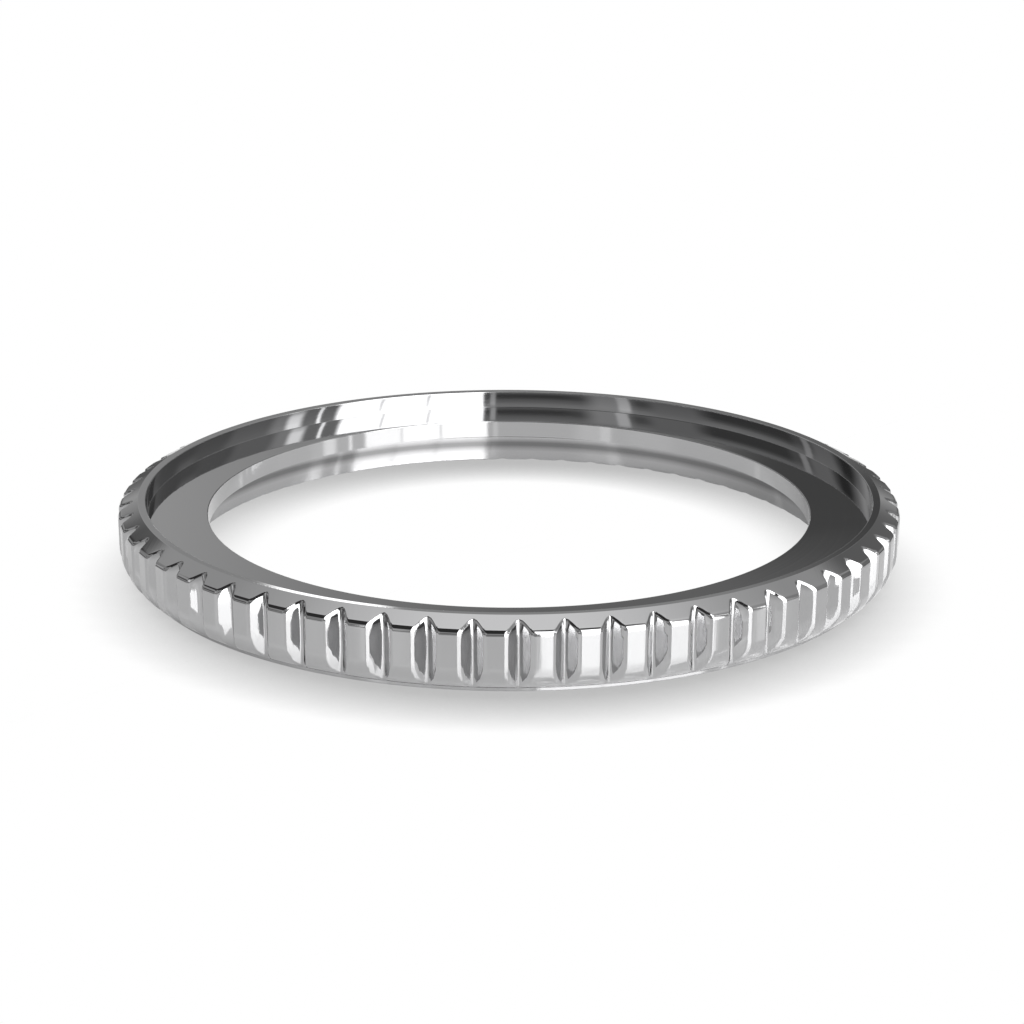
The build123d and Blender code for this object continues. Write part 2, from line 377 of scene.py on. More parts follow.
        # Heights between which it meets the shoulder, or between which a land rounds over
        tangent = s.shoulder_round * tan((pi / 2 - self.slope) / 2)
        corner = self.top - s.shoulder_drop
        nearness = np.clip((depth_line - s.outer_radius) / (2 * s.groove_break) + 1, 0, 1)
        sharp = self.cone_height(depth_line)
        top_low = sharp - s.groove_break / cos(self.slope)
        top_low += nearness * (corner - tangent - soft - top_low)
        top_high = self.cone_height(set_in)
        top_high += nearness * (corner + tangent * sin(self.slope) + soft - top_high)
        end = np.full(azimuth.shape, self.cone_height(s.rim_radius + 3 * s.rim_round))
        start = np.full(azimuth.shape, s.belly_end_height)

        def between(low, high, shares):
            return [low + (high - low) * share for share in shares]

        lines = between(start, belly_low - soft, (0, *WALL_SHARES))
        lines += [belly_low - soft, belly_low + soft]
        lines += between(belly_low + soft, belly_high - soft, HALF_SHARES)
        lines += [belly_high + soft]
        lines += between(belly_high + soft, top_low - soft, BAND_SHARES)
        lines += between(top_low - soft, top_high + soft, EDGE_SHARES)
        lines += between(top_high + soft, end, HALF_SHARES)
        return np.stack(lines)


def unit(vector):
    """Vector of length one."""
    return vector / np.linalg.norm(vector)


def rounded_path(corners, before, after):
    """Points and directions along an outline whose corners are (radius, height, round, steps).

    The outline runs with the metal on its left, from one neighbouring point to another."""
    places = [np.array(before)] + [np.array(corner[:2]) for corner in corners] + [np.array(after)]
    points, normals = [], []
    for i, (_, _, rounding, steps) in enumerate(corners):
        here = places[i + 1]
        arriving, leaving = unit(here - places[i]), unit(places[i + 2] - here)
        first = np.array([arriving[1], -arriving[0]])
        last = np.array([leaving[1], -leaving[0]])
        if not rounding:
            points.append(here)
            normals.append(unit(first + last))
            continue
        cross = arriving[0] * leaving[1] - arriving[1] * leaving[0]
        turning = atan2(cross, float(arriving @ leaving))
        side = 1 if turning > 0 else -1
        centre = here - arriving * rounding * tan(abs(turning) / 2) - first * rounding * side
        for step in range(steps + 1):
            part = turning * step / steps
            spin = np.array([[cos(part), -sin(part)], [sin(part), cos(part)]])
            normals.append(spin @ first)
            points.append(centre + normals[-1] * rounding * side)
    return np.array(points), np.array(normals)


def hollow_wall(radius, low, high, hollow):
    """Corners of an inner wall from its foot to its top, hollowed a little by polishing."""
    return [
        (radius + hollow * (1 - (2 * share - 1) ** 2), low + (high - low) * share, 0, 0)
        for share in WALL_SHARES
    ]


def ring_section(s):
    """Corners of the ring's outline, from the rim's outer edge inwards and round to the lip."""
    soft = s.rim_round / 3
    ratchet_top = s.ledge_under + s.ratchet_depth
    corners = [
        (s.rim_radius, cad_high.z, s.rim_round, 2),
        (s.seat_radius, cad_high.z - s.rim_fall, s.rim_round, 3),
        *hollow_wall(s.seat_radius, s.ledge_top, cad_high.z, s.recess_hollow)[::-1],
        (s.seat_radius, s.ledge_top, soft, 1),
        (s.opening_radius, s.ledge_top, s.rim_round, 3),
        (s.opening_radius, s.ledge_under, soft / 4, 1),
        (s.ratchet_inner_radius, s.ledge_under, 0, 0),
        (s.ratchet_inner_radius, ratchet_top, 0, 0),
        (s.ratchet_outer_radius, ratchet_top, 0, 0),
        (s.ratchet_outer_radius, s.ledge_under, 0, 0),
        (s.channel_radius, s.ledge_under, soft, 1),
    ]
    edge = acos((s.channel_radius - s.wire_ring_radius) / s.wire_groove_radius)
    for share in (1, 0.5, 0, -0.5, -1):
        radius = s.wire_ring_radius + s.wire_groove_radius * cos(edge * share)
        height = s.wire_height + s.wire_groove_radius * sin(edge * share)
        corners.append((radius, height, 0, 0))
    corners += [
        (s.channel_radius, s.running_height + s.mouth_break, soft, 1),
        (s.channel_radius + s.mouth_break, s.running_height, soft, 1),
        (s.lip_radius, s.running_height, s.rim_round, 2),
        (s.lip_radius, s.lip_height, soft, 1),
    ]
    return corners


# Node trees


def plug(tree, socket, value):
    """Links a socket to an output, or to a node's first output, or else sets its value."""
    if isinstance(value, bpy.types.Node):
        value = value.outputs[0]
    if isinstance(value, bpy.types.NodeSocket):
        tree.links.new(value, socket)
    else:
        socket.default_value = value


def add(tree, kind, *values, **settings):
    """New node. Values go to its sockets in turn, a setting to a property or a named socket."""
    node = tree.nodes.new(kind)
    named = {}
    for name, value in settings.items():
        if hasattr(node, name):
            setattr(node, name, value)
        else:
            named[name.replace("_", " ")] = value
    for name, value in named.items():
        plug(tree, node.inputs[name], value)
    for socket, value in zip(node.inputs, values):
        plug(tree, socket, value)
    return node


def compute(tree, operation, *values):
    """Output of a math node."""
    return add(tree, "ShaderNodeMath", *values, operation=operation).outputs[0]


def new_group(kind, name, inputs, outputs):
    """Node group with its start and end sockets, each given by its default or its kind."""
    group = bpy.data.node_groups.new(name, kind)
    for in_out, sockets in (("INPUT", inputs), ("OUTPUT", outputs)):
        for label, value in sockets.items():
            named = isinstance(value, str)
            socket_type = f"NodeSocket{value if named else type(value).__name__.title()}"
            made = group.interface.new_socket(label, in_out=in_out, socket_type=socket_type)
            if not named:
                made.default_value = value
    return group, add(group, "NodeGroupInput").outputs, add(group, "NodeGroupOutput").inputs


def built_once(store, name):
    """Has a node group or a material built on its first use, and gives it again later."""

    def remember(build):
        def give(*values):
            return getattr(bpy.data, store).get(name) or build(name, *values)

        return give

    return remember


# Geometry that repeats round the axis


def make_object(name, vertices, faces):
    """New object from vertices and faces."""
    mesh = bpy.data.meshes.new(name)
    mesh.from_pydata(vertices, [], faces)
    made = bpy.data.objects.new(name, mesh)
    bpy.context.scene.collection.objects.link(made)
    return made


def make_sector(name, azimuths, radii, heights, normals=None):
    """Strip of a closed ring: rings of the outline run round it, columns lie at azimuths."""
    rings, columns = radii.shape
    x, y = radii * np.cos(azimuths), radii * np.sin(azimuths)
    vertices = np.stack([x, y, heights], axis=-1).reshape(-1, 3)
    faces = []
    for i in range(rings):
        here, after = i * columns, (i + 1) % rings * columns
        for j in range(columns - 1):
            faces.append((here + j, here + j + 1, after + j + 1, after + j))
    sector = make_object(name, vertices.tolist(), faces)
    if normals is not None:
        kept = sector.data.attributes.new("surface_direction", "FLOAT_VECTOR", "POINT")
        kept.data.foreach_set("vector", normals.reshape(-1).astype(np.float32))
    return sector


@built_once("node_groups", "Repeat Round Axis")
def repeat_round_axis(name):
    """Tree that copies a sector round the axis and joins the copies."""
    inputs = {
        "Geometry": "Geometry",
        "Copies": 60,
        "Merge Distance": MERGE_DISTANCE,
        "Material": "Material",
    }
    tree, start, end = new_group("GeometryNodeTree", name, inputs, {"Geometry": "Geometry"})
    index = add(tree, "GeometryNodeInputIndex")
    share = compute(tree, "DIVIDE", index, start["Copies"])
    copies = add(
        tree,
        "GeometryNodeInstanceOnPoints",
        Points=add(tree, "GeometryNodePoints", start["Copies"]),
        Instance=start["Geometry"],
        Rotation=add(tree, "ShaderNodeCombineXYZ", Z=compute(tree, "MULTIPLY", share, 2 * pi)),
    )
    real = add(tree, "GeometryNodeRealizeInstances", copies)
    joined = add(
        tree, "GeometryNodeMergeByDistance", Geometry=real, Distance=start["Merge Distance"]
    )
    painted = add(tree, "GeometryNodeSetMaterial", joined, Material=start["Material"])
    plug(tree, end["Geometry"], painted)
    return tree


def keep_result(piece):
    """Leaves the result of a piece's modifiers as its plain mesh."""
    graph = bpy.context.evaluated_depsgraph_get()
    done = bpy.data.meshes.new_from_object(piece.evaluated_get(graph), depsgraph=graph)
    piece.modifiers.clear()
    old = piece.data
    piece.data = done
    bpy.data.meshes.remove(old)
    done.name = piece.name


def run_tree(piece, tree, values):
    """Runs a tree on a piece and keeps its result."""
    modifier = piece.modifiers.new(tree.name, "NODES")
    modifier.node_group = tree
    for item in tree.interface.items_tree:
        if item.in_out == "INPUT" and item.name in values:
            modifier[item.identifier] = values[item.name]
    keep_result(piece)


def read_vectors(data, field):
    """Vectors of a mesh's points or of an attribute, one in a row."""
    values = np.zeros(len(data) * 3)
    data.foreach_get(field, values)
    return values.reshape(-1, 3)


def smooth_by_direction(mesh):
    """Shades a ring by the surface directions that its sector carried."""
    places = read_vectors(mesh.vertices, "co")
    out, along, up = read_vectors(mesh.attributes["surface_direction"].data, "vector").T
    azimuth = np.arctan2(places[:, 1], places[:, 0])
    cosine, sine = np.cos(azimuth), np.sin(azimuth)
    normals = np.stack([out * cosine - along * sine, out * sine + along * cosine, up], axis=-1)
    normals /= np.linalg.norm(normals, axis=1, keepdims=True)
    mesh.attributes.remove(mesh.attributes["surface_direction"])
    mesh.shade_smooth()
    mesh.normals_split_custom_set_from_vertices(normals.tolist())


class BEZEL_OT_ring(Operator):
    """Builds the polished ring with its finger grooves"""

    bl_idname = "bezel.ring"
    bl_label = "Bezel Ring"

    def execute(self, context):
        s = context.scene.bezel_sizes
        wall = GroovedWall(s)
        azimuths = wall.columns()
        heights = wall.rows(azimuths)
        spread = np.broadcast_to(azimuths, heights.shape)
        radii = wall.radius_at(spread, heights)
        normals = wall.normal_at(spread, radii, heights)
        rim_edge = s.rim_radius + s.rim_round
        outside_rim = (rim_edge, wall.cone_height(rim_edge))
        belly_end = (s.belly_end_radius, s.belly_end_height)
        path, leans = rounded_path(ring_section(s), outside_rim, belly_end)
        columns = len(azimuths)
        path_normals = np.zeros((len(path), columns, 3))
        path_normals[..., 0] = leans[:, :1]
        path_normals[..., 2] = leans[:, 1:]
        piece = make_sector(
            "bezel_ring_polished",
            azimuths,
            np.concatenate([radii, np.repeat(path[:, :1], columns, axis=1)]),
            np.concatenate([heights, np.repeat(path[:, 1:], columns, axis=1)]),
            np.concatenate([normals, path_normals]),
        )
        steel = polished_steel(context.scene)
        run_tree(piece, repeat_round_axis(), {"Copies": s.clicks, "Material": steel})
        smooth_by_direction(piece.data)
        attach(piece, "bezel")
        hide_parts("bezel_ring")
        return {"FINISHED"}


CLASSES.append(BEZEL_OT_ring)


# Carrier ring

POCKET_SIDES = 48


class BEZEL_OT_carrier(Operator):
    """Builds the carrier ring with its notches, grooves and pockets"""

    bl_idname = "bezel.carrier"
    bl_label = "Carrier Ring"

    def execute(self, context):
        s = context.scene.carrier_sizes
        clicks = context.scene.bezel_sizes.clicks
        half = pi / clicks
        notch = asin(s.notch_width / 2 / s.neck_radius)
        azimuths = np.array([-half, -(half + notch) / 2, -notch, -notch / 2, 0])
        azimuths = np.concatenate([azimuths, -azimuths[-2::-1]])
        path = np.array(self.outline(s))
        radii = np.repeat(path[:, :1], len(azimuths), axis=1)
        heights = np.repeat(path[:, 1:], len(azimuths), axis=1)
        beside = np.abs(s.neck_radius * np.sin(azimuths))
        rise = s.notch_height * (1 - beside / (s.notch_width / 2))
        # The outline's two ends meet where a notch stops, and only its first one is raised
        in_notch = radii < s.neck_radius + s.notch_reach + SMALLEST_GAP
        in_notch[-1] = False
        heights = np.where(in_notch, np.maximum(heights, rise), heights)
        piece = make_sector("carrier_ring_turned", azimuths, radii, heights)
        steel = turned_steel(context.scene)
        run_tree(piece, repeat_round_axis(), {"Copies": clicks, "Material": steel})
        self.cut_pockets(piece, s)
        piece.data.shade_smooth()
        piece.data.set_sharp_from_angle(angle=EDGE_ANGLE)
        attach(piece, "carrier")
        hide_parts("carrier_ring")
        return {"FINISHED"}

    def outline(self, s):
        """Corners (radius, height) up the bore from its foot, over the top and down outside."""
        low_edge, high_edge = s.edge_break, s.height - s.edge_break
        wire_low, wire_high = s.wire_height - s.wire_half_gap, s.wire_height + s.wire_half_gap
        seal_low, seal_high = s.seal_height - s.seal_half_gap, s.seal_height + s.seal_half_gap
        notch_end = s.neck_radius + s.notch_reach
        bore = hollow_wall(s.neck_radius, low_edge, high_edge, s.bore_hollow)
        return [
            (notch_end, 0),
            (s.neck_radius + s.edge_break, 0),
            (s.neck_radius, low_edge),
            *[corner[:2] for corner in bore],
            (s.neck_radius, s.height - s.bore_break),
            (s.neck_radius + s.bore_break, s.height),
            (s.outer_radius - s.edge_break, s.height),
            (s.outer_radius, high_edge),
            (s.outer_radius, wire_high),
            (s.wire_seat_radius, wire_high),
            (s.wire_seat_radius, wire_low),
            (s.outer_radius, wire_low),
            (s.outer_radius, seal_high),
            (s.seal_seat_radius, seal_high),
            (s.seal_seat_radius, seal_low),
            (s.outer_radius, seal_low),
            (s.outer_radius, low_edge),
            (s.outer_radius - s.edge_break, 0),
            (notch_end, 0),
        ]

    def cut_pockets(self, piece, s):
        """Cuts the pockets of the balls and pawls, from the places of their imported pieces."""
        cutters = bmesh.new()
        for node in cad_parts:
            if not node.startswith(("detent_ball", "click_pawl")):
                continue
            low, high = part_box(node)
            middle = (low + high) / 2
            place = Matrix.Translation((middle.x, middle.y, s.pocket_floor + s.height / 2))
            place @= Matrix.Rotation(atan2(middle.y, middle.x), 4, "Z")
            if node.startswith("detent_ball"):
                size = (s.ball_pocket_radius, s.ball_pocket_radius, s.height, 1)
                bmesh.ops.create_cone(
                    cutters,
                    cap_ends=True,
                    segments=POCKET_SIDES,
                    radius1=1,
                    radius2=1,
                    depth=1,
                    matrix=place @ Matrix.Diagonal(size),
                )
            else:
                size = (s.pawl_pocket_depth, s.pawl_pocket_width, s.height, 1)
                bmesh.ops.create_cube(cutters, size=1, matrix=place @ Matrix.Diagonal(size))
        cutter = make_object("pocket_cutters", [], [])
        cutters.to_mesh(cutter.data)
        cutters.free()
        cut = piece.modifiers.new("Pockets", "BOOLEAN")
        cut.operation = "DIFFERENCE"
        cut.object = cutter
        cut.solver = "EXACT"
        keep_result(piece)
        bpy.data.objects.remove(cutter)


CLASSES.append(BEZEL_OT_carrier)


# Springs


@built_once("node_groups", "Wound Spring")
def wound_spring(name):
    """Tree that winds a compression spring with closed ends."""
    inputs = {
        "Geometry": "Geometry",
        "Turns": 4.0,
        "Mean Radius": 0.24 * MM,
        "Wire Radius": 0.06 * MM,
        "Free Height": 0.8 * MM,
        "Points": 96,
        "Sides": 10,
        "Place": "Vector",
        "Material": "Material",
    }
    tree, start, end = new_group("GeometryNodeTree", name, inputs, {"Geometry": "Geometry"})
    line = add(tree, "GeometryNodeMeshLine", Count=start["Points"])
    last = compute(tree, "SUBTRACT", start["Points"], 1)
    share = compute(tree, "DIVIDE", add(tree, "GeometryNodeInputIndex"), last)
    angle = compute(tree, "MULTIPLY", compute(tree, "MULTIPLY", share, start["Turns"]), 2 * pi)
    ease = add(tree, "ShaderNodeMapRange", interpolation_type="SMOOTHSTEP", Value=share)
    wire_width = compute(tree, "MULTIPLY", start["Wire Radius"], 2)
    rise = compute(tree, "SUBTRACT", start["Free Height"], wire_width)
    spot = add(
        tree,
        "ShaderNodeCombineXYZ",
        compute(tree, "MULTIPLY", compute(tree, "COSINE", angle), start["Mean Radius"]),
        compute(tree, "MULTIPLY", compute(tree, "SINE", angle), start["Mean Radius"]),
        compute(tree, "MULTIPLY_ADD", ease, rise, start["Wire Radius"]),
    )
    placed = add(tree, "ShaderNodeVectorMath", spot, start["Place"], operation="ADD")
    wound = add(tree, "GeometryNodeSetPosition", Geometry=line, Position=placed)
    section = add(
        tree,
        "GeometryNodeCurvePrimitiveCircle",
        Resolution=start["Sides"],
        Radius=start["Wire Radius"],
    )
    wire = add(
        tree,
        "GeometryNodeCurveToMesh",
        Curve=add(tree, "GeometryNodeMeshToCurve", wound),
        Profile_Curve=section,
        Fill_Caps=True,
    )
    real = add(tree, "GeometryNodeRealizeInstances", wire)
    painted = add(tree, "GeometryNodeSetMaterial", real, Material=start["Material"])
    plug(tree, end["Geometry"], painted)
    return tree


class BEZEL_OT_springs(Operator):
    """Winds a spring under every ball and every pawl"""

    bl_idname = "bezel.springs"
    bl_label = "Springs"

    def execute(self, context):
        s = context.scene.spring_sizes
        kinds = {"detent_spring": ("ball", s.ball_turns), "pawl_spring": ("pawl", s.pawl_turns)}
        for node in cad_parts:
            kind, _, number = node.rpartition("_")
            if kind not in kinds:
                continue
            moving, turns = kinds[kind]
            low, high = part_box(node)
            middle = (low + high) / 2
            tall = high.z - low.z
            piece = make_object(f"{node}_coil", [], [])
            values = {
                "Turns": turns,
                "Mean Radius": (s.outer_diameter - s.wire_diameter) / 2,
                "Wire Radius": s.wire_diameter / 2,
                "Free Height": tall,
                "Points": int(turns * s.points_in_turn) + 1,
                "Place": (middle.x, middle.y, low.z),
                "Material": spring_steel(context.scene),
            }
            run_tree(piece, wound_spring(), values)
            piece.data.shade_smooth()
            piece.data.set_sharp_from_angle(angle=2 * EDGE_ANGLE)
            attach(piece, "carrier")
            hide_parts(node)
            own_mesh(piece)
        return {"FINISHED"}


CLASSES.append(BEZEL_OT_springs)


# Finishes

# Share that heights count for in the outer wall's hairlines, which draws them out upwards
UPRIGHT_SHARE = 0.04

LEAST_ROUGHNESS = 0.01
HAIR_DETAIL = 2.0
MARKS_OUTPUTS = {"Roughness": "Float", "Height": "Float"}

# Painted shade on the carrier's steel by height, darkest in a band under the bezel's ledge, as
# shares of its height and of its colour
BORE_SHADE_SHARES = (
    (0, 1), (0.38, 1), (0.52, 0.75), (0.63, 0.47), (0.75, 0.47), (0.86, 0.8), (0.95, 1)
)

# Darkest and palest grain of a moulded piece, against its colour
GRAIN_SHADES = (0.85, 1.1)


def object_place(tree):
    """Place on the object, and its three parts."""
    place = add(tree, "ShaderNodeTexCoord").outputs["Object"]
    return place, add(tree, "ShaderNodeSeparateXYZ", place).outputs


def noise(tree, place, scale, detail):
    """Noise by place, from 0 to 1."""
    made = add(tree, "ShaderNodeTexNoise", Vector=place, Scale=scale, Detail=detail)
    return made.outputs["Fac"]


def flat_noise(tree, x, y, lines_in_millimetre, detail):
    """Noise by two measures, given as lines in a millimetre."""
    scale = compute(tree, "DIVIDE", lines_in_millimetre, MM)
    parts = [compute(tree, "MULTIPLY", value, scale) for value in (x, y)]
    return noise(tree, add(tree, "ShaderNodeCombineXYZ", *parts), 1.0, detail)


def centred(tree, pattern):
    """Pattern moved so that its middle is at zero."""
    return compute(tree, "SUBTRACT", pattern, 0.5)


def vary(tree, pattern, start):
    """Roughness that varies with a centred pattern, by a group's own inputs."""
    return compute(tree, "MULTIPLY_ADD", pattern, start["Variation"], start["Roughness"])


def level_ramp(tree, value, levels):
    """Grey that goes from level to level as a value rises, given as (value, level)."""
    ramp = add(tree, "ShaderNodeValToRGB", value)
    points = ramp.color_ramp.elements
    points.remove(points[1])
    for i, (place, level) in enumerate(levels):
        point = points[0] if i == 0 else points.new(place)
        point.position = place
        point.color = (level, level, level, 1)
    return ramp.outputs["Color"]


def mix_colours(tree, share, first, second, blend="MIX"):
    """Colour that is mixed from two others by a share."""
    mix = add(tree, "ShaderNodeMix", share, data_type="RGBA", blend_type=blend)
    sockets = [socket for socket in mix.inputs if socket.type == "RGBA"]
    for socket, value in zip(sockets, (first, second)):
        plug(tree, socket, value)
    return next(socket for socket in mix.outputs if socket.type == "RGBA")


@built_once("node_groups", "Turning Marks")
def turning_marks(name):
    """Group with the fine rings that a lathe leaves, all round the turning axis."""
    inputs = {"Lines per Millimetre": 24.0, "Roughness": 0.25, "Variation": 0.1}
    group, start, end = new_group("ShaderNodeTree", name, inputs, MARKS_OUTPUTS)
    _, apart = object_place(group)
    squares = [compute(group, "POWER", apart[axis], 2) for axis in "XY"]
    radius = compute(group, "SQRT", compute(group, "ADD", *squares))
    lines = flat_noise(group, radius, apart["Z"], start["Lines per Millimetre"], 3.0)
    plug(group, end["Roughness"], vary(group, centred(group, lines), start))
    plug(group, end["Height"], lines)
    return group


@built_once("node_groups", "Polishing Haze")
def polishing_haze(name):
    """Group with faint clouds, and hairlines that run up the outside and round the inside."""
    inputs = {
        "Clouds per Millimetre": 0.6,
        "Hairs per Millimetre": 7.0,
        "Inner Radius": 19.3 * MM,
        "Roughness": 0.05,
        "Variation": 0.04,
    }
    group, start, end = new_group("ShaderNodeTree", name, inputs, MARKS_OUTPUTS)
    place, apart = object_place(group)
    flat = add(group, "ShaderNodeCombineXYZ", apart["X"], apart["Y"])
    radius = add(group, "ShaderNodeVectorMath", flat, operation="LENGTH").outputs["Value"]
    azimuth = compute(group, "ARCTAN2", apart["X"], compute(group, "MULTIPLY", apart["Y"], -1))
    along = compute(group, "MULTIPLY", azimuth, radius)
    stretched = compute(group, "MULTIPLY", apart["Z"], UPRIGHT_SHARE)
    per_millimetre = start["Hairs per Millimetre"]
    upright = flat_noise(group, along, stretched, per_millimetre, HAIR_DETAIL)
    rings = flat_noise(group, radius, apart["Z"], per_millimetre, HAIR_DETAIL)
    inside = compute(group, "LESS_THAN", radius, start["Inner Radius"])
    hairs = add(group, "ShaderNodeMix", inside)
    plug(group, hairs.inputs[2], centred(group, upright))
    plug(group, hairs.inputs[3], centred(group, rings))
    scale = compute(group, "DIVIDE", start["Clouds per Millimetre"], MM)
    clouds = centred(group, noise(group, place, scale, 5.0))
    rough = vary(group, compute(group, "ADD", clouds, hairs), start)
    plug(group, end["Roughness"], compute(group, "MAXIMUM", rough, LEAST_ROUGHNESS))
    plug(group, end["Height"], hairs)
    return group


@built_once("node_groups", "Moulded Grain")
def moulded_grain(name):
    """Group with the fine grain that a mould leaves."""
    inputs = {
        "Grains per Millimetre": 12.0,
        "Dark": "Color",
        "Pale": "Color",
        "Roughness": 0.5,
        "Variation": 0.12,
    }
    outputs = {"Color": "Color", **MARKS_OUTPUTS}
    group, start, end = new_group("ShaderNodeTree", name, inputs, outputs)
    place, _ = object_place(group)
    scale = compute(group, "DIVIDE", start["Grains per Millimetre"], MM)
    speckle = noise(group, place, scale, 4.0)
    plug(group, end["Color"], mix_colours(group, speckle, start["Dark"], start["Pale"]))
    plug(group, end["Roughness"], vary(group, centred(group, speckle), start))
    plug(group, end["Height"], speckle)
    return group


def new_material(name, base, metallic):
    """Material with one principled shader, and that shader."""
    material = bpy.data.materials.new(name)
    material.use_nodes = True
    shader = material.node_tree.nodes["Principled BSDF"]
    shader.inputs["Base Color"].default_value = (*base, 1)
    shader.inputs["Metallic"].default_value = metallic
    return material, shader


def marked(name, base, metallic, marks, depth, **values):
    """Material with marks from a shared group in its gloss and, so deep, in its surface."""
    material, shader = new_material(name, base, metallic)
    tree = material.node_tree
    group = add(tree, "ShaderNodeGroup", node_tree=marks, **values)
    plug(tree, shader.inputs["Roughness"], group.outputs["Roughness"])
    height = group.outputs["Height"]
    relief = add(tree, "ShaderNodeBump", Strength=1.0, Distance=depth, Height=height)
    plug(tree, shader.inputs["Normal"], relief)
    if "Color" in group.outputs:
        plug(tree, shader.inputs["Base Color"], group.outputs["Color"])
    return material


@built_once("materials", "polished_steel_finish")
def polished_steel(name, scene):
    """Mirror-polished steel with a faint haze and hairlines."""
    base = scene.finishes.polished_steel
    return marked(name, base, 1, polishing_haze(), 0.001 * MM, Roughness=0.045, Variation=0.05)


@built_once("materials", "turned_steel_finish")
def turned_steel(name, scene):
    """Fine-turned steel, with a band of painted shade round the upper half of its bore, under the
    ledge.
    """
    base = scene.finishes.turned_steel
    material = marked(name, base, 1, turning_marks(), 0.0002 * MM, Roughness=0.1, Variation=0.08)
    tree = material.node_tree
    _, apart = object_place(tree)
    share = compute(tree, "DIVIDE", apart["Z"], scene.carrier_sizes.height)
    # Painted shade: the base colour darkens by height in a band round the upper half of the bore
    painted_shade = level_ramp(tree, share, BORE_SHADE_SHARES)
    shaded_base = mix_colours(tree, 1, (*base, 1), painted_shade, "MULTIPLY")
    plug(tree, tree.nodes["Principled BSDF"].inputs["Base Color"], shaded_base)
    return material


@built_once("materials", "hardened_steel_finish")
def hardened_steel(name, scene):
    """Hardened and ground steel."""
    marks = {"Lines per Millimetre": 40.0, "Roughness": 0.2, "Variation": 0.1}
    base = scene.finishes.hardened_steel
    return marked(name, base, 1, turning_marks(), 0.0003 * MM, **marks)


@built_once("materials", "spring_steel_finish")
def spring_steel(name, scene):
    """Drawn spring wire."""
    marks = {"Clouds per Millimetre": 8.0, "Roughness": 0.22, "Variation": 0.12}
    base = scene.finishes.spring_steel
    return marked(name, base, 1, polishing_haze(), 0.0002 * MM, **marks)


def moulded(name, base, depth, **values):
    """Moulded rubber or plastic with a fine grain in its colour, gloss and surface."""
    dark, pale = [(*[min(part * share, 1) for part in base], 1) for share in GRAIN_SHADES]
    return marked(name, base, 0, moulded_grain(), depth, Dark=dark, Pale=pale, **values)


@built_once("materials", "seal_rubber_finish")
def seal_rubber(name, scene):
    """Smooth rubber of the sealing ring."""
    grain = {"Grains per Millimetre": 12, "Roughness": 0.5}
    return moulded(name, scene.finishes.seal_rubber, 0.002 * MM, **grain)


@built_once("materials", "washer_plastic_finish")
def washer_plastic(name, scene):
    """Low-friction plastic of the slide washer."""
    grain = {"Grains per Millimetre": 6, "Roughness": 0.42}
    return moulded(name, scene.finishes.washer_plastic, 0.001 * MM, **grain)


PACKED_FINISHES = {
    "ratchet_ring": hardened_steel,
    "detent_ball": hardened_steel,
    "click_pawl": hardened_steel,
    "snap_wire": spring_steel,
    "seal_ring": seal_rubber,
    "slide_washer": washer_plastic,
}


class BEZEL_OT_finish(Operator):
    """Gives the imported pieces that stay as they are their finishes"""

    bl_idname = "bezel.finish_packed"
    bl_label = "Packed Pieces"

    def execute(self, context):
        for node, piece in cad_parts.items():
            for start, finish in PACKED_FINISHES.items():
                if node.startswith(start):
                    piece.data.materials.clear()
                    piece.data.materials.append(finish(context.scene))
        return {"FINISHED"}


CLASSES.append(BEZEL_OT_finish)


# Studio

# Brightness of the studio by height above the horizon, in degrees, before its panels
STUDIO_HEIGHTS = (
    (0, 0.15), (4, 0.25), (8, 0.5), (12, 0.4), (17, 0.22), (21, 0.22), (26, 0.5),
    (32, 0.55), (45, 0.55), (55, 0.75), (62, 1.0), (70, 1.25), (90, 1.35),
)

ZENITH = 90

# Panels and dark flags round the ring: degrees from the camera's side, positive to the right
PANEL_FIELDS = ("Middle", "Half Width", "Low", "High", "Side Soft", "Edge Soft", "Level")
STUDIO_PANELS = (
    (-168, 8, 14, 32, 8, 4, 0.58),
    (-177.9, 1.1, 10, 14, 0.3, 0.8, 2.4),
    (-36, 7, 8, 34, 4, 4, 0.7),
    (-41, 2.2, 8, 34, 0.8, 3, 1.3),
    (-60, 9, 8, 32, 3, 4, 0.4),
    (-92, 19, 14.5, 24, 3, 2.5, 0.13),
    (-118.5, 2, 8, 32, 1, 3, 0.7),
    (-129, 7, 8, 32, 3, 4, 0.4),
    (-146, 6, 13, 27, 4, 3, 0.07),
    (-8, 15, 17, 22, 5, 2, 0.14),
    (4.2, 0.9, 8, 32, 0.4, 3, 1.1),
    (-62, 70, 36, 95, 6, 3, 0.05),
    (76, 54, 69, 95, 5, 3, 0.08),
    (146, 9, 4, 36, 4, 4, 0.2),
    (167.5, 5.5, 8, 19.2, 1.5, 1.2, 0.09),
    (96, 10, 4, 40, 4, 4, 0.4),
    (80, 6, 3, 26, 3, 3, 0.7),
    (116, 9, 4, 30, 4, 4, 0.27),
    (67, 9, -5, 50, 1, 3, 0.5),
    (76, 3, 6, 22, 1.5, 5, 2.6),
    (66, 0.7, 4, 40, 0.4, 4, 3.5),
    (33, 25.5, -8, 62, 0.5, 4, 5.5),
    (51, 8, -8, 62, 1.5, 4, 5.0),
    (43, 0.5, 8, 62, 0.4, 3, 2.6),
    (26.5, 0.5, 8, 62, 0.4, 3, 2.6),
)

FLOOR_ROUGHNESS = 0.1

# Darkest shadow where the ring touches the floor, as a share of the shadow's level
CONTACT_SHARE = 0.6

# Openness to the sky at which the floor is white again
OPEN_SHARE = 0.88

# Where the floor begins to darken in reflections, as a share of the card's depth, and its grey
CARD_EDGE_SHARE = 0.85
PAST_CARD = 0.12


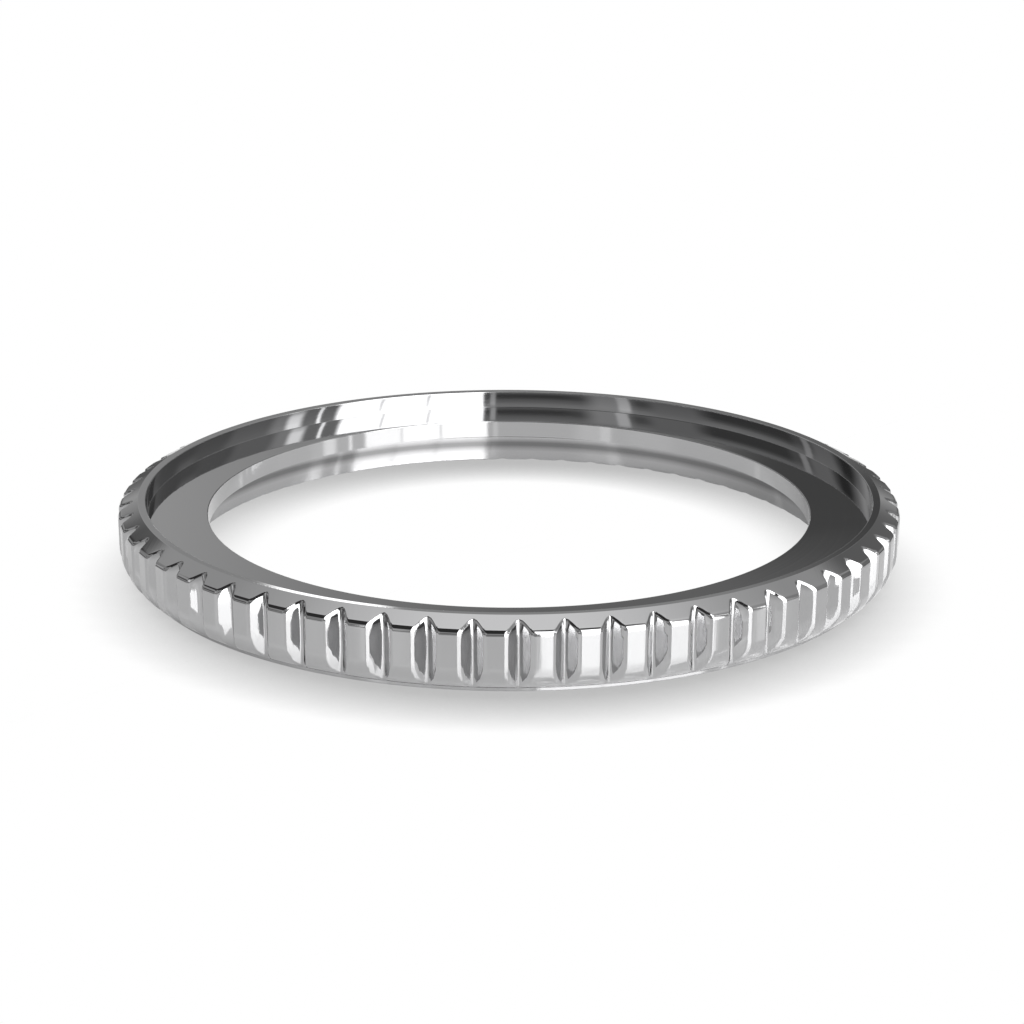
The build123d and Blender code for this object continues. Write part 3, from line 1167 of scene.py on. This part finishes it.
@built_once("node_groups", "Soft Panel")
def soft_panel(name):
    """Group that lays one soft-edged panel over a brightness, by direction in degrees."""
    inputs = dict.fromkeys(("Azimuth", "Elevation", "Below", *PANEL_FIELDS), 0.0)
    group, start, end = new_group("ShaderNodeTree", name, inputs, {"Brightness": "Float"})
    away = compute(group, "SUBTRACT", start["Azimuth"], start["Middle"])
    away = compute(group, "ABSOLUTE", compute(group, "WRAP", away, 180, -180))

    def within(value, limit, soft):
        ramp = add(
            group,
            "ShaderNodeMapRange",
            interpolation_type="SMOOTHSTEP",
            Value=value,
            From_Min=compute(group, "SUBTRACT", limit, soft),
            From_Max=compute(group, "ADD", limit, soft),
            To_Min=1,
            To_Max=0,
        )
        return ramp.outputs[0]

    side = within(away, start["Half Width"], start["Side Soft"])
    top = within(start["Elevation"], start["High"], start["Edge Soft"])
    under = within(start["Elevation"], start["Low"], start["Edge Soft"])
    above = compute(group, "SUBTRACT", 1, under)
    mask = compute(group, "MULTIPLY", compute(group, "MULTIPLY", side, top), above)
    change = compute(group, "SUBTRACT", start["Level"], start["Below"])
    plug(group, end[0], compute(group, "MULTIPLY_ADD", change, mask, start["Below"]))
    return group


def make_world(context):
    """World whose brightness goes by direction, and which the camera itself sees as white."""
    world = bpy.data.worlds.new("studio")
    world.use_nodes = True
    context.scene.world = world
    tree = world.node_tree
    tree.nodes.clear()
    direction = add(tree, "ShaderNodeTexCoord").outputs["Generated"]
    apart = add(tree, "ShaderNodeSeparateXYZ", direction).outputs
    toward_camera = compute(tree, "MULTIPLY", apart["Y"], -1)
    azimuth = compute(tree, "DEGREES", compute(tree, "ARCTAN2", apart["X"], toward_camera))
    elevation = compute(tree, "DEGREES", compute(tree, "ARCSINE", apart["Z"]))
    levels = [(height / ZENITH, level) for height, level in STUDIO_HEIGHTS]
    brightness = level_ramp(tree, compute(tree, "DIVIDE", elevation, ZENITH), levels)
    for panel in STUDIO_PANELS:
        brightness = add(
            tree,
            "ShaderNodeGroup",
            node_tree=soft_panel(),
            Azimuth=azimuth,
            Elevation=elevation,
            Below=brightness,
            **dict(zip(PANEL_FIELDS, panel)),
        ).outputs[0]
    light = add(tree, "ShaderNodeBackground", brightness)
    white = add(tree, "ShaderNodeBackground", (1, 1, 1, 1))
    seen = add(tree, "ShaderNodeLightPath").outputs["Is Camera Ray"]
    add(tree, "ShaderNodeOutputWorld", add(tree, "ShaderNodeMixShader", seen, light, white))


def pale_floor(s):
    """Pale glazed floor. The camera sees it white, with a soft shadow close round the ring.

    Reflections see it lit, and dark beyond the card's depth behind the ring."""
    material, shader = new_material("pale_floor", (s.floor,) * 3, 0)
    tree = material.node_tree
    shader.inputs["Roughness"].default_value = FLOOR_ROUGHNESS
    shader.inputs["IOR"].default_value = s.floor_gloss
    lean = add(tree, "ShaderNodeCombineXYZ", Y=sin(s.shadow_lean), Z=cos(s.shadow_lean))
    near = add(tree, "ShaderNodeAmbientOcclusion", Distance=s.shadow_reach, Normal=lean)
    # Openness that the leaned direction still finds right at the ring's foot
    contact = (1 - sin(s.shadow_lean)) / 2
    levels = ((0, s.shadow_level * CONTACT_SHARE), (contact, s.shadow_level), (OPEN_SHARE, 1))
    shade = level_ramp(tree, near.outputs["AO"], levels)
    ray = add(tree, "ShaderNodeLightPath").outputs
    mirrored = compute(tree, "ADD", ray["Is Glossy Ray"], ray["Is Transmission Ray"])
    glow = compute(tree, "MULTIPLY", mirrored, s.floor_glow)
    lift = add(tree, "ShaderNodeEmission", Color=(1, 1, 1, 1), Strength=glow)
    lit = add(tree, "ShaderNodeAddShader", shader, lift)
    _, apart = object_place(tree)
    far = add(
        tree,
        "ShaderNodeMapRange",
        interpolation_type="SMOOTHSTEP",
        Value=apart["Y"],
        From_Min=s.card_depth * CARD_EDGE_SHARE,
        From_Max=s.card_depth,
    )
    dark = add(tree, "ShaderNodeEmission", (PAST_CARD, PAST_CARD, PAST_CARD, 1))
    past_card = compute(tree, "MULTIPLY", far, mirrored)
    card = add(tree, "ShaderNodeMixShader", past_card, lit, dark)
    white = add(tree, "ShaderNodeEmission", shade)
    shown = add(tree, "ShaderNodeMixShader", ray["Is Camera Ray"], card, white)
    plug(tree, tree.nodes["Material Output"].inputs["Surface"], shown)
    return material


class BEZEL_OT_stage(Operator):
    """Builds the floor, the studio's light and the camera"""

    bl_idname = "bezel.stage"
    bl_label = "Stage"

    def execute(self, context):
        s = context.scene.studio
        context.scene.view_settings.view_transform = "Standard"
        half = s.floor_half_width
        corners = [(-half, -half, 0), (half, -half, 0), (half, half, 0), (-half, half, 0)]
        floor = make_object("floor", corners, [(0, 1, 2, 3)])
        floor.data.materials.append(pale_floor(s))
        make_world(context)
        self.make_camera(context, s)
        return {"FINISHED"}

    def make_camera(self, context, s):
        """Camera fitted to the photograph: the ring's outlines, groove tips and opening."""
        lens = bpy.data.cameras.new("camera")
        lens.lens = s.focal_pixels / IMAGE_SIDE * lens.sensor_width
        lens.shift_x = (IMAGE_SIDE / 2 - s.origin_pixel[0]) / IMAGE_SIDE
        lens.shift_y = (s.origin_pixel[1] - IMAGE_SIDE / 2) / IMAGE_SIDE
        lens.clip_start = MM
        camera = bpy.data.objects.new("camera", lens)
        context.scene.collection.objects.link(camera)
        level = cos(s.camera_elevation)
        back = Vector(
            (
                -sin(s.camera_azimuth) * level,
                -cos(s.camera_azimuth) * level,
                sin(s.camera_elevation),
            )
        )
        turned = (-back).to_track_quat("-Z", "Y").to_matrix()
        turned @= Matrix.Rotation(s.camera_roll, 3, "Z")
        camera.matrix_world = Matrix.Translation(back * s.camera_distance) @ turned.to_4x4()
        context.scene.camera = camera


CLASSES.append(BEZEL_OT_stage)


class BEZEL_PT_sidebar(Panel):
    """Lists the pieces and the stage, with their sizes and finishes"""

    bl_label = "Watch Bezel"
    bl_idname = "BEZEL_PT_sidebar"
    bl_space_type = "VIEW_3D"
    bl_region_type = "UI"
    bl_category = "Bezel"

    def draw(self, context):
        layout = self.layout
        for kind in CLASSES:
            if issubclass(kind, Operator):
                layout.operator(kind.bl_idname)
        for name in SETTINGS:
            group = getattr(context.scene, name)
            box = layout.box()
            box.label(text=group.bl_rna.name)
            for field in group.__annotations__:
                box.prop(group, field)


CLASSES.append(BEZEL_PT_sidebar)

SETTINGS = {
    "bezel_sizes": BezelSizes,
    "carrier_sizes": CarrierSizes,
    "spring_sizes": SpringSizes,
    "finishes": Finishes,
    "studio": Studio,
}


def register():
    """Registers the classes and the scene's settings."""
    for kind in CLASSES:
        bpy.utils.register_class(kind)
    for name, kind in SETTINGS.items():
        setattr(bpy.types.Scene, name, PointerProperty(type=kind))


def unregister():
    """Removes the classes and the scene's settings."""
    for name in SETTINGS:
        delattr(bpy.types.Scene, name)
    for kind in reversed(CLASSES):
        bpy.utils.unregister_class(kind)


def main():
    """Builds every piece and the stage."""
    register()
    bpy.ops.bezel.ring()
    bpy.ops.bezel.carrier()
    bpy.ops.bezel.springs()
    bpy.ops.bezel.finish_packed()
    bpy.ops.bezel.stage()


if __name__ == "__main__":
    main()
